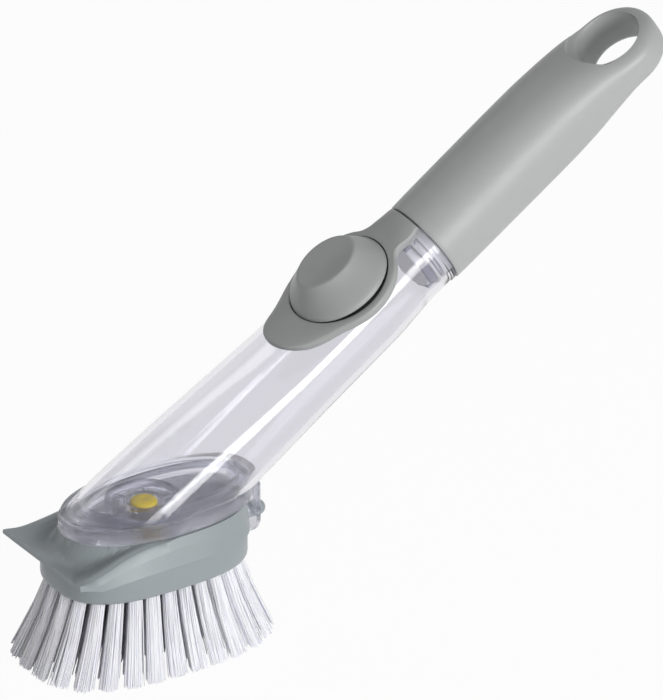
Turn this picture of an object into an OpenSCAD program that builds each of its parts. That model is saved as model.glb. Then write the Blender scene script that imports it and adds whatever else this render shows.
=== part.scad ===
// Dish wand: a clear soap reservoir with a thumb pump, a screw-on hand grip and a slide-off brush head.
// Origin: centre of the soap outlet, on the flat seat where a head meets the reservoir.
// X runs from the scraper towards the grip, Z is up, and the wand is symmetric across the XZ plane.

/* [Wand] */
// Rise of the reservoir and grip above the head's seat, degrees
rise_angle = 32; // [29:0.5:36]
// Distance along the reservoir's axis from the seat to the grip's mouth
tank_len = 141; // [136:1:160]
// Length of the grip from its mouth to the tip of the hanging eye
grip_len = 115.8; // [100:0.2:140]

/* [Reservoir] */
// Outside radius of the reservoir at its neck
neck_r = 16.3; // [15.8:0.1:17]
// Wall of the reservoir
tank_wall = 2; // [1.6:0.1:2.2]
// Half width of the reservoir at its foot
foot_half_w = 20.8; // [20:0.1:22]
// Half height of the reservoir at its foot, square to its axis
foot_half_h = 21.6; // [20.6:0.1:22]
// Half height of the reservoir where its back is flattened for the pump
flat_half_h = 15.5; // [15.2:0.1:15.9]
// Half width of the reservoir at the pump
pump_half_w = 18.6; // [17.8:0.1:19]

/* [Foot plate] */
// Half length of the oval foot plate
plate_half_l = 38.8; // [38:0.1:41]
// Half width of the oval foot plate
plate_half_w = 21.8; // [21.4:0.1:23]
// Thickness of the foot plate
plate_t = 4.6; // [4:0.1:6]
// Thickness of the reservoir's foot flange
flange_t = 1.8; // [1.2:0.1:2.4]
// Length of the latch tab below the seat
tab_len = 19.4; // [18:0.1:20]
// Width of the latch tab
tab_w = 16.6; // [14:0.2:20]
// Thickness of the latch tab
tab_t = 1.8; // [1.4:0.1:2.2]

/* [Thumb pump] */
// Distance of the thumb button's centre from the grip's mouth
pump_back = 33.5; // [32:0.5:36]
// Radius of the thumb button at its foot
button_r = 19.35; // [18:0.05:19.6]
// Radius of the thumb button's top face
button_top_r = 12.6; // [10:0.1:15]
// Height of the thumb button above the saddle's face
button_h = 10; // [8:0.1:12]
// Travel of the thumb button
button_travel = 3; // [2:0.1:3]

/* [Brush head] */
// Half length of the bristle block
block_half_l = 38.5; // [36:0.1:40]
// Half width of the bristle block
block_half_w = 25; // [24:0.1:27]
// Height of the bristle block
block_h = 10; // [9:0.1:12]
// Height of the head from the block's underside to the seat
head_h = 20.5; // [19:0.1:23]
// Distance of the scraper's edge in front of the outlet
scraper_at = 43.2; // [42:0.1:46]
// Half width of the scraper's edge
scraper_half_w = 26; // [25:0.1:28]
// Thickness of the scraper's edge
scraper_t = 1.8; // [1.4:0.1:2.4]
// Free length of the bristles below the block
bristle_len = 30.5; // [26:0.5:34]
// Travel that frees the head from its hooks
head_travel = 9; // [8.5:0.1:9.5]

/* [Hanging eye] */
// Radius of the hole through the grip's end
eye_r = 12; // [10:0.1:12.5]
// Half width of the grip
grip_half_w = 17.1; // [16.6:0.1:18]
// Half height of the grip at the eye
eye_half_h = 8.6; // [8:0.1:9.5]

/* [Hidden] */
$fn = 72;
eps = 0.01;
fit_gap = 0.15;
run_gap = 0.05;
free_gap = 0.3;

clear_plastic = [0.86, 0.86, 0.92, 0.35];
grip_grey = [0.6, 0.61, 0.6];
head_grey = [0.55, 0.58, 0.59];
silicone = [0.86, 0.86, 0.84];
valve_yellow = [0.88, 0.7, 0.15];
nylon_white = [0.95, 0.95, 0.97];
spring_steel = [0.7, 0.71, 0.73];

// General shapes

function spow(v, p) = sign(v) * pow(abs(v), p);
function sup_x(a, n, f) = a * spow(cos(f), 2 / n);
function sup_y(b, n, f) = b * spow(sin(f), 2 / n);
function oval(a, b, n, sides) = [for (i = [0:sides - 1]) [sup_x(a, n, 360 * i / sides), sup_y(b, n, 360 * i / sides)]];
function mix(a, b, f) = a + (b - a) * f;
function clamp01(v) = max(0, min(1, v));

function ring_middle(ring) = [for (k = [0:2]) [for (p = ring) p[k]] * [for (p = ring) 1 / len(ring)]];

// Solid through a list of rings, which all have the same number of points and turn the same way
module loft(rings, flip = false) {
    count = len(rings[0]);
    last = len(rings) - 1;
    points = concat([for (ring = rings) each ring], [ring_middle(rings[0]), ring_middle(rings[last])]);
    sides = [
        for (r = [0:last - 1])
            for (i = [0:count - 1])
                let (
                    j = (i + 1) % count,
                    p = r * count + i,
                    q = r * count + j
                )
                each [[p, q, q + count], [p, q + count, p + count]]
    ];
    caps = [
        for (i = [0:count - 1])
            let (j = (i + 1) % count)
            each [[len(points) - 2, j, i], [len(points) - 1, last * count + i, last * count + j]]
    ];
    faces = concat(sides, caps);
    polyhedron(points, flip ? [for (face = faces) [for (i = [len(face) - 1:-1:0]) face[i]]] : faces);
}

module oval_plate(a, b, n, h) {
    linear_extrude(h) polygon(oval(a, b, n, 72));
}

// The wand's frame: x runs along the reservoir, z points out through the thumb button
module wand() {
    rotate([0, -rise_angle, 0]) children();
}

module along(at) {
    translate([at, 0, 0]) rotate([0, 90, 0]) children();
}

module ring(outer, inner, h) {
    difference() {
        cylinder(r = outer, h = h);
        translate([0, 0, -eps]) cylinder(r = inner, h = h + 2 * eps);
    }
}

// Reservoir

plate_x = 5.2;
plate_n = 2.1;
neck_at = tank_len - 3;
pump_at = tank_len - pump_back;
neck_ring_r = neck_r + 0.4;
neck_ring_end = tank_len - 0.6;
spout_r = neck_r - 1;
spout_end = tank_len + 2;
neck_bore_r = neck_r - tank_wall;
flat_from = pump_at - 33;
mid_at = 50;
tank_sides = 40;
tank_rows = [0, 0.1, 0.2, 0.3, 0.42, 0.54, 0.66, 0.78, 0.9, 1];

function tank_half_w(at) = lookup(at, [[0, foot_half_w], [mid_at, foot_half_w - 0.4],
    [pump_at, pump_half_w], [neck_at - 10, neck_r + 0.4], [neck_at, neck_r]]);
function tank_half_h(at) = lookup(at, [[0, foot_half_h], [mid_at / 2, foot_half_h - 1.5], [mid_at, foot_half_h - 3.5],
    [flat_from, flat_half_h + 0.3], [pump_at, flat_half_h], [neck_at - 10, neck_r - 0.3], [neck_at, neck_r]]);
function tank_n(at) = lookup(at, [[0, 2.05], [mid_at, 2.3], [flat_from, 2.5], [pump_at, 2.5],
    [neck_at - 10, 2.1], [neck_at, 2]]);

// Height of the reservoir's outer skin above its axis, at a place along it and across it
function tank_top(at, y) =
    tank_half_h(at) * pow(max(0, 1 - pow(abs(y) / tank_half_w(at), tank_n(at))), 1 / tank_n(at));

// Where a line of the skin, at an angle round the axis, comes down to a level above the seat
function skin_h(at, f, inset) = sup_y(tank_half_h(at) - inset, tank_n(at), f);
function foot_at(f, level, inset, tries = 8, at = 0) =
    tries == 0 ? at
    : foot_at(f, level, inset, tries - 1,
        (level - skin_h(at, f, inset) * cos(rise_angle)) / sin(rise_angle));
function skin_point(at, f, inset) =
    [at, sup_x(tank_half_w(at) - inset, tank_n(at), f), skin_h(at, f, inset)];
function tank_ring(row, top_at, level, inset) = [
    for (i = [0:tank_sides - 1])
        let (
            f = 360 * i / tank_sides,
            at = mix(top_at, foot_at(f, level, inset), row)
        )
        skin_point(at, f, inset)
];

module tank_skin(top_at, level, inset) {
    loft([for (row = tank_rows) tank_ring(row, top_at, level, inset)]);
}

module tank_tube() {
    color(clear_plastic)
    difference() {
        union() {
            wand() {
                tank_skin(neck_at, plate_t + 0.3, 0);
                along(neck_at - eps) cylinder(r = neck_ring_r, h = neck_ring_end - neck_at);
                along(neck_at) cylinder(r = spout_r, h = spout_end - neck_at);
            }
            translate([plate_x, 0, plate_t])
                oval_plate(plate_half_l - 0.9, plate_half_w - 0.9, plate_n, flange_t);
        }
        wand() {
            tank_skin(neck_at - 12, plate_t - 1, tank_wall);
            along(neck_at - 12 - 4) cylinder(r = neck_bore_r, h = 30);
            translate([pump_at, 0, face_h - face_t - fit_gap]) cylinder(r = boss_r + fit_gap, h = 20);
            translate([pump_at, 0, well_under - fit_gap]) cylinder(r = well_r + well_wall + fit_gap, h = 20);
        }
    }
}

// Foot plate, valve and outlet

floor_z = 3.2;
valve_seat_z = 1.6;
rim_x = 7.6;
valve_stem_r = 2.2;
valve_cap_r = 4.9;
valve_flap_r = 6.2;
valve_lift = 0.5;
hook_x = -26.5;
hook_y = 4.7;
hook_w = 3;
hook_t = 1.9;
hook_drop = 3.2;
hook_toe = 1.8;
shell_rear = block_half_l + 0.4;
tab_clear = 3.7;
tab_x = shell_rear + tab_clear;
rib_y = 5.6;
rib_t = 1.1;
stud_z = -12;
stud_r = 2.9;

// Side view of the latch tab: straight at the top, drawn in towards the head at its end
function tab_bend(z) = z > stud_z - 4 ? 0 : -2.6 * pow((stud_z - 4 - z) / (tab_len + stud_z - 4), 2);
tab_profile = concat(
    [[tab_x - 4, plate_t - 1.6], [tab_x - 4, 0], [tab_x - 2, 0], [tab_x, -2]],
    [for (z = [stud_z:-0.9:-tab_len]) [tab_x + tab_bend(z), z]],
    [for (z = [-tab_len:0.9:stud_z]) [tab_x + tab_t + tab_bend(z), z]],
    [[tab_x + tab_t, plate_t - 1.6]]
);

module latch_tab() {
    difference() {
        intersection() {
            translate([0, tab_w / 2, 0]) rotate([90, 0, 0]) linear_extrude(tab_w) polygon(tab_profile);
            union() {
                translate([tab_x - 6, -tab_w / 2, -tab_len + tab_w / 2])
                    cube([12, tab_w, tab_len + plate_t]);
                translate([tab_x - 6, 0, -tab_len + tab_w / 2]) rotate([0, 90, 0])
                    cylinder(r = tab_w / 2, h = 12);
            }
        }
        translate([tab_x - 2, 0, stud_z]) rotate([0, 90, 0]) cylinder(r = stud_r + free_gap, h = 6);
    }
}

module front_hook() {
    translate([hook_x, -hook_w / 2, -hook_drop]) cube([hook_t, hook_w, hook_drop + eps]);
    translate([hook_x - hook_toe, -hook_w / 2, -hook_drop]) cube([hook_toe + eps, hook_w, 1.2]);
}

module tank_base() {
    color(clear_plastic)
    difference() {
        union() {
            translate([plate_x, 0, 0]) oval_plate(plate_half_l, plate_half_w, plate_n, plate_t);
            translate([rim_x, 0, plate_t - eps])
                oval_plate(plate_half_l - 7.4, plate_half_w - 4.8, plate_n, 3);
            latch_tab();
            for (side = [-1, 1]) translate([tab_x + tab_t - eps, side * rib_y - rib_t / 2, stud_z + 3])
                cube([rib_t, rib_t, -stud_z - 3 + plate_t - 1.8]);
            for (side = [-1, 1]) translate([0, side * hook_y, 0]) front_hook();
        }
        translate([rim_x, 0, floor_z])
            oval_plate(plate_half_l - 9, plate_half_w - 6.4, plate_n, 8);
        translate([0, 0, -eps]) cylinder(r = valve_flap_r + 2.8, h = valve_seat_z);
        translate([0, 0, -eps]) cylinder(r = valve_stem_r + free_gap, h = plate_t);
        for (i = [0:3]) rotate([0, 0, 90 * i + 45])
            translate([3.9, 0, -eps]) cylinder(r = 0.9, h = plate_t);
    }
}

module valve_ring() {
    color(clear_plastic) translate([0, 0, floor_z]) {
        ring(14, 12.4, 3.2);
        ring(7.4, 6, 1.6);
        for (i = [0:5]) rotate([0, 0, 60 * i]) translate([7.2, -0.6, 0]) cube([5.4, 1.2, 1.2]);
    }
}

module outlet_valve() {
    color(valve_yellow) rotate_extrude() polygon([
        [0, 0.5], [1, valve_lift], [valve_flap_r, 0.9], [valve_flap_r, 1.3], [valve_stem_r, 1.5],
        [valve_stem_r, floor_z + valve_lift + 0.1], [valve_cap_r, floor_z + valve_lift + 0.1],
        [valve_cap_r, 4.9], [4, 5.4], [2, 5.7], [0, 5.8]
    ]);
}

// Saddle, which frames the thumb pump

boss_r = 22.3;
saddle_tip = pump_at - 34;
nose_r = 14.5;
saddle_end = tank_len - 0.6;
neck_half_w = 8.9;
saddle_lift = 1.4;
saddle_seat = 0.5;
face_h = flat_half_h + 0.7;
face_drop = 0.0045;
well_r = button_r + 0.35;
well_floor = face_h - 3.8;
well_under = well_floor - 1;
well_wall = 1.4;
face_t = 1.7;

function nose_w(at) = at < saddle_tip + nose_r
    ? sqrt(max(0.04, pow(nose_r, 2) - pow(saddle_tip + nose_r - at, 2))) : nose_r;
function boss_w(at) = sqrt(max(0, pow(boss_r, 2) - pow(at - pump_at, 2)));
function neck_w(at) = neck_half_w + pow(max(0, 8 - (saddle_end - at)) / 8, 2) * 1.1
    + 3.2 * pow(clamp01((pump_at + 25.5 - at) / 8), 2);
function saddle_w(at) = max(boss_w(at), at < pump_at ? nose_w(at) : neck_w(at));

// The face round the button is nearly flat; elsewhere the saddle follows the reservoir's back
function in_boss(at, y) = pow(at - pump_at, 2) + y * y < pow(boss_r + 0.01, 2);
function saddle_top(at, y) = in_boss(at, y)
    ? max(face_h - face_drop * y * y, min(tank_top(at, y) + saddle_lift, face_h + 1))
    : tank_top(at, y) + saddle_lift;
function saddle_under(at, y) = abs(y) < tank_half_w(at) - 1 && !in_boss(at, y)
    ? tank_top(at, y) + saddle_seat : saddle_top(at, y) - face_t;

saddle_cuts = concat(
    [for (f = [4, 14, 26, 40, 56, 74]) saddle_tip + nose_r * (1 - cos(f))],
    [for (f = [-46:6:50]) pump_at + boss_r * sin(f)],
    [pump_at + 19.5, pump_at + 21.5, pump_at + 23.5, pump_at + 26, pump_at + 29, saddle_end]
);
saddle_steps = 8;

function saddle_ring(at) = let (w = saddle_w(at)) concat(
    [for (i = [0:saddle_steps]) let (y = mix(-w + 0.4, w - 0.4, i / saddle_steps)) [at, y, saddle_under(at, y)]],
    [[at, w, saddle_top(at, w) - 1.6], [at, w, saddle_top(at, w) - 0.6]],
    [for (i = [0:saddle_steps]) let (y = mix(w - 0.5, -w + 0.5, i / saddle_steps)) [at, y, saddle_top(at, y)]],
    [[at, -w, saddle_top(at, w) - 0.6], [at, -w, saddle_top(at, w) - 1.6]]
);

module saddle() {
    color(grip_grey)
    wand() difference() {
        union() {
            loft([for (at = saddle_cuts) saddle_ring(at)], true);
            translate([pump_at, 0, well_under]) cylinder(r = well_r + well_wall, h = face_h - face_t + 0.5 - well_under);
        }
        translate([pump_at, 0, well_floor]) cylinder(r = well_r, h = 12);
        translate([pump_at, 0, well_under - 1]) cylinder(r = inlet_r + fit_gap, h = 6);
    }
}

// Pump

cup_r = 12.4;
cup_wall = 1.2;
cup_bore = cup_r - cup_wall;
cup_floor = well_floor + 1.2;
cup_top = face_h + 3;
inlet_r = 6;
lip_r = cup_bore - 0.6;
lip_t = 0.9;
bead_top = cup_top - lip_t - free_gap;
bellows_base = cup_floor;
bellows_top = face_h + 4;
bellows_r = 5.9;
flange_r = bellows_r + 2.8;

module at_pump(h) {
    wand() translate([pump_at, 0, h]) children();
}

module pump_cup() {
    color(nylon_white) at_pump(0) difference() {
        rotate_extrude() polygon([
            [0, well_under - 0.6], [inlet_r, well_under - 0.6], [inlet_r, well_floor], [cup_r, well_floor],
            [cup_r, cup_top - 0.4], [cup_r - 0.4, cup_top], [lip_r + 0.3, cup_top], [lip_r, cup_top - 0.3],
            [lip_r, cup_top - lip_t], [cup_bore, cup_top - lip_t], [cup_bore, cup_floor], [0, cup_floor]
        ]);
        for (i = [0:3]) rotate([0, 0, 90 * i])
            translate([2.8, 0, well_under - 1]) cylinder(r = 0.9, h = 5);
    }
}

module pump_bellows() {
    color(silicone) at_pump(bellows_base) rotate_extrude() polygon([
        [0, bellows_top - bellows_base - 1], [bellows_r - 1.4, bellows_top - bellows_base - 1],
        [bellows_r - 0.4, 5], [bellows_r - 1.6, 4], [bellows_r - 0.2, 3], [bellows_r - 1.2, 1.2],
        [bellows_r - 1.2, 0], [flange_r, 0], [flange_r, 1], [bellows_r, 1],
        [bellows_r + 0.8, 3], [bellows_r - 0.5, 4], [bellows_r + 0.6, 5],
        [bellows_r - 0.6, bellows_top - bellows_base - 0.3], [bellows_r - 1.2, bellows_top - bellows_base],
        [0, bellows_top - bellows_base]
    ]);
}

module bellows_ring() {
    color(nylon_white) at_pump(bellows_base + 1) ring(flange_r, bellows_r + 1.6, 1);
}

spring_r = 3.6;
spring_wire = 0.8;
spring_turns = 3.5;
spring_rings = 8;
spring_low = cup_floor + spring_wire / 2 + 0.05;
spring_high = bellows_top - 1 - spring_wire / 2 - 0.05;
spring_rise = (spring_high - spring_low) / spring_turns;

function coil_at(t) = [spring_r * cos(360 * t), spring_r * sin(360 * t), spring_low + spring_rise * t];
function coil_ring(t) = [
    for (k = [0:5])
        let (c = coil_at(t), g = 60 * k)
        [
            c[0] + spring_wire / 2 * cos(g) * cos(360 * t),
            c[1] + spring_wire / 2 * cos(g) * sin(360 * t),
            c[2] + spring_wire / 2 * sin(g)
        ]
];
coil_points = [for (i = [0:spring_rings * spring_turns]) coil_at(i / spring_rings)];
coil_gap = min([
    for (i = [0:len(coil_points) - 1])
        for (j = [i + spring_rings - 2:1:len(coil_points) - 1])
            norm(coil_points[i] - coil_points[j]) - spring_wire
]);

module pump_spring() {
    echo(least_gap_between_spring_curls = coil_gap);
    color(spring_steel) at_pump(0)
        loft([for (i = [0:spring_rings * spring_turns]) coil_ring(i / spring_rings)]);
}

cap_foot = well_floor + button_travel + 0.4;
cap_top = face_h + button_h;
cap_wall = 1.8;
boss_bore = 3.05;

module button_cap() {
    color(grip_grey) at_pump(0) difference() {
        rotate_extrude() polygon([
            [0, cap_top - 0.9], [button_top_r * 0.55, cap_top - 0.6], [button_top_r - 1.6, cap_top],
            [button_top_r - 0.7, cap_top], [button_top_r, cap_top - 0.5], [button_top_r + 0.5, cap_top - 1.3],
            [button_r - 0.9, face_h + 1.4], [button_r, face_h - 0.4], [button_r, cap_foot],
            [button_r - cap_wall, cap_foot], [button_r - cap_wall - 0.3, face_h + 0.8],
            [button_top_r - 0.6, cap_top - 3], [lip_r - free_gap, cap_top - 3.2],
            [lip_r - free_gap, bead_top], [cup_bore - free_gap, bead_top],
            [cup_bore - free_gap, bead_top - 0.4], [lip_r - 0.5, bead_top - 1],
            [lip_r - 1.5, bead_top - 1], [lip_r - 1.5, cap_top - 3.6], [5.4, cap_top - 3.2],
            [5.2, bellows_top + 1.6], [boss_bore, bellows_top + 1.6], [boss_bore, bellows_top + 3.8],
            [0, bellows_top + 3.8]
        ]);
    }
}

module button_plunger() {
    color(nylon_white) at_pump(bellows_top + 0.05) {
        cylinder(r = 4.6, h = 1.4);
        cylinder(r = boss_bore - run_gap, h = 3.6);
    }
}

// Grip

gasket_at = spout_end + run_gap;
gasket_t = 1.2;
shoulder_at = gasket_at + gasket_t + 0.15;
plug_r = neck_bore_r - 0.35;
plug_end = tank_len - 10;
plug_in = tank_len + 15;
socket_r = 14.65;
seal_at = tank_len - 6;
seal_minor = 0.7;
seal_major = neck_bore_r - run_gap - seal_minor;

module neck_gasket() {
    color(silicone) wand() along(gasket_at) ring(spout_r + 0.1, plug_r + fit_gap, gasket_t);
}

module handle_plug() {
    color(nylon_white) wand() along(0) difference() {
        rotate_extrude() polygon([
            [0, plug_end], [plug_r - 0.8, plug_end], [plug_r, plug_end + 0.8],
            [plug_r, seal_at - 0.8], [seal_major - seal_minor - run_gap, seal_at - 0.8],
            [seal_major - seal_minor - run_gap, seal_at + 0.8], [plug_r, seal_at + 0.8],
            [plug_r, shoulder_at], [socket_r - run_gap, shoulder_at], [socket_r - run_gap, plug_in],
            [socket_r - 2.4, plug_in], [plug_r - 2.4, plug_end + 2], [0, plug_end + 2]
        ]);
    }
}

module plug_seal() {
    color(silicone) wand() along(seal_at) rotate_extrude()
        translate([seal_major, 0]) circle(r = seal_minor, $fn = 32);
}

eye_at = tank_len + grip_len - grip_half_w;
eye_h = 2.2;
grip_sides = 44;

function grip_c(at) = lookup(at, [[tank_len, 0], [tank_len + 39, 1.3], [tank_len + 72, 2.3], [eye_at - 12, 2.8],
    [eye_at, eye_h], [tank_len + grip_len, eye_h - 0.6]]);
function grip_hh(at) = lookup(at, [[tank_len, 17], [tank_len + 9, 17.1], [tank_len + 39, 16.9],
    [tank_len + 59, 16.2], [tank_len + 72, 14.8], [eye_at - 18, 13.1], [eye_at - 11, 11.4],
    [eye_at - 5, 9.7], [eye_at, eye_half_h + 0.3], [eye_at + 6, eye_half_h]]);
function grip_hw(at) = lookup(at, [[tank_len, 17], [tank_len + 12, grip_half_w], [eye_at, grip_half_w]]);
function grip_n(at) = lookup(at, [[tank_len, 2], [tank_len + 39, 2.1], [tank_len + 72, 2.4],
    [eye_at - 8, 2.8], [eye_at, 3]]);
grip_cuts = concat(
    [for (d = [0, 0.5, 3, 12, 26, 39, 50, 59, 66, 72]) tank_len + d],
    [for (d = [21, 16, 11, 7, 3, 0]) eye_at - d]
);
tip_turns = [14, 27, 39, 50, 60, 69, 77, 84];

function grip_ring(at, hw, hh) = [
    for (i = [0:grip_sides - 1])
        let (f = 360 * i / grip_sides)
        [at, sup_x(hw, grip_n(at), f), grip_c(at) + sup_y(hh, grip_n(at), f)]
];
function mouth_round(at) = at < tank_len + 0.4 ? 0.5 : 0;

module handle_shell() {
    color(grip_grey) wand() difference() {
        loft(concat(
            [for (at = grip_cuts) grip_ring(at, grip_hw(at) - mouth_round(at), grip_hh(at) - mouth_round(at))],
            [for (f = tip_turns)
                grip_ring(eye_at + grip_half_w * sin(f), grip_half_w * cos(f),
                    (eye_half_h + 0.3) * pow(cos(f), 0.42))]
        ), true);
        along(tank_len - 1) cylinder(r = spout_r + 0.4, h = shoulder_at - tank_len + 1);
        along(shoulder_at - eps) cylinder(r = socket_r, h = plug_in - shoulder_at + eps);
        translate([plug_in - eps, 0, 0]) rotate([0, 90 - 2, 0]) cylinder(r1 = 14.2, r2 = 10.4, h = eye_at - 17 - plug_in);
        translate([eye_at, 0, eye_h - 20]) cylinder(r = eye_r, h = 40);
        translate([eye_at, 0, eye_h]) eye_flare();
        translate([eye_at, 0, eye_h]) mirror([0, 0, 1]) eye_flare();
    }
}

// Rounded lip of the hanging eye
eye_wall = 5.4;
eye_round = 2.4;
module eye_flare() {
    rotate_extrude() polygon(concat(
        [[eye_r - 1, eye_wall]],
        [for (f = [0:15:75]) [eye_r + eye_round * (1 - cos(f)), eye_wall + eye_round * sin(f) * 1.3]],
        [[eye_r + eye_round + 0.8, eye_wall + 6], [eye_r - 1, eye_wall + 6]]
    ));
}

// Brush head

seam_z = -head_h + block_h;
shell_top = -0.2;
block_n = 2.8;
lip_z = -5.8;
dish_z = -8.2;
crest_end = -8;
shell_cuts = [
    -scraper_at, -scraper_at + 0.8, -40.6, -38, -35.2, -32.4, -29, -25, -21, -17, -13, -9, -4, 6,
    for (d = [24.9, 17.9, 11.9, 7.4, 3.9, 1.5, 0.3]) shell_rear - d
];
shell_steps = 14;
shell_half_w = block_half_w + 0.5;

function shell_low_w(x) = x < 0 ? mix(shell_half_w, scraper_half_w, clamp01(-x / scraper_at))
    : shell_half_w * pow(max(0.002, 1 - pow(x / shell_rear, block_n)), 1 / block_n);
function shell_top_w(x) = shell_low_w(x) - 2.6 * clamp01((x + scraper_at) / 26) * clamp01((46 - x) / 12);
function shell_under(x) = x > -34 ? seam_z
    : mix(seam_z, lip_z - scraper_t, pow(clamp01((-34 - x) / (scraper_at - 34)), 0.8));
function crest_z(x) = mix(lip_z, shell_top, clamp01((x + scraper_at) / (scraper_at + crest_end)));
function past_plate(x, y) = max(0, sqrt(pow((x - plate_x) / plate_half_l, 2)
    + pow(y / plate_half_w, 2)) - 1) * mix(plate_half_l, plate_half_w, clamp01(abs(y) / 22));
function dish(x, y) = let (
        drop = shell_top - dish_z,
        t = clamp01(past_plate(x, y) / 6.5),
        base = shell_top - drop * (1 - pow(1 - t, 2)),
        lip = (lip_z - dish_z) * pow(clamp01(1 - (x + scraper_at) / 8), 2) * t,
        edge = clamp01(1 - (shell_top_w(x) - abs(y)) / 7),
        side = (crest_z(x) - base) * edge * edge
    )
    x > crest_end ? shell_top : min(shell_top, max(base + lip, base + side));

function shell_ring(x) = let (low = shell_low_w(x), top = min(shell_top_w(x), low), under = shell_under(x)) concat(
    [[x, -low, under], [x, low, under]],
    [for (i = [0:shell_steps]) let (y = mix(top, -top, i / shell_steps)) [x, y, max(dish(x, y), under + 0.4)]]
);

module stud_place() {
    translate([shell_rear - 3, 0, stud_z]) rotate([0, 90, 0]) children();
}

module release_stud() {
    stud_place() rotate_extrude() polygon([
        [0, 0], [stud_r + 1, 0], [stud_r + 1, 3.6], [stud_r, 4], [stud_r, 12.6],
        [stud_r * 0.87, 13.9], [stud_r * 0.5, 14.8], [0, 15.1]
    ]);
}

module brush_shell() {
    color(head_grey) difference() {
        union() {
            loft([for (x = shell_cuts) shell_ring(x)], true);
            release_stud();
        }
        translate([0, 0, seam_z - eps]) oval_plate(block_half_l - 4, block_half_w - 4, block_n, 3);
        translate([0, 0, -12]) cylinder(r = 4, h = 14);
        translate([0, 0, -1.6]) cylinder(r = 9.4, h = 3);
        for (side = [-1, 1]) translate([hook_x - hook_toe - free_gap, side * hook_y - hook_w / 2 - free_gap, 0]) {
            translate([hook_toe, 0, -hook_drop - free_gap])
                cube([hook_t + head_travel + 2 * free_gap, hook_w + 2 * free_gap, 5]);
            translate([0, 0, -hook_drop - free_gap]) cube([hook_toe + 2, hook_w + 2 * free_gap, 1.2 + 2 * free_gap]);
        }
    }
}

block_sides = 64;
function block_ring(z, inset) = [
    for (p = oval(block_half_l - inset, block_half_w - inset, block_n, block_sides)) [p[0], p[1], z]
];

module bristle_block() {
    color(head_grey) difference() {
        union() {
            loft([block_ring(-head_h, 0.9), block_ring(-head_h + 0.3, 0.35), block_ring(-head_h + 0.9, 0.1),
                block_ring(seam_z, 0)], true);
            translate([0, 0, seam_z - eps])
                oval_plate(block_half_l - 4 - fit_gap, block_half_w - 4 - fit_gap, block_n, 1.5);
        }
        translate([0, 0, -head_h - eps]) difference() {
            oval_plate(band_l[0] + run_gap, band_w[0] + run_gap, 2.4, slice_t + run_gap);
            translate([0, 0, -eps]) oval_plate(band_l[3] - run_gap, band_w[3] - run_gap, 2.4, slice_t + 1);
        }
        stud_place() cylinder(r = stud_r + 1 + fit_gap, h = 6);
        translate([0, 0, -head_h - 1]) cylinder(r = duct_r + run_gap, h = 20);
        translate([0, 0, seam_z + 0.2]) cylinder(r = 5.6, h = 5);
    }
}

module inlet_seal() {
    color(silicone) translate([0, 0, -1.6]) ring(9.2, 5.6, 1.6 - run_gap);
}

duct_r = 3.9;
module soap_duct() {
    color(nylon_white) translate([0, 0, -head_h - 0.6]) difference() {
        union() {
            cylinder(r = duct_r, h = block_h + 0.9);
            translate([0, 0, block_h + 0.8]) cylinder(r = 5.4, h = 1.2);
        }
        translate([0, 0, -1]) cylinder(r = 2.4, h = block_h + 5);
    }
}

// Bristles: each band of tufts is one closed mesh, a slice of backing with its strands grown out of it

band_l = [for (in = [2.9, 9.3, 15.7, 22.1]) block_half_l - in];
band_w = [for (in = [2.8, 9, 15.1, 20.4]) block_half_w - in];
band_n = 2.4;
band_gap = 0.3;
slice_t = 2;
strand_half = 0.5;
tip_half = 0.62;
tuft_grip = 0.45;
fan_l = 1.39;
fan_w = 1.51;
fan_back = -1;

function band_point(band, across, f) =
    [sup_x(mix(band_l[band] - band_gap, band_l[band + 1] + band_gap, across), band_n, f),
     sup_y(mix(band_w[band] - band_gap, band_w[band + 1] + band_gap, across), band_n, f)];
// A turn that spaces the tufts about evenly round the oval
function even_turn(t) = 360 * t - 9 * sin(720 * t);

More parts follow.
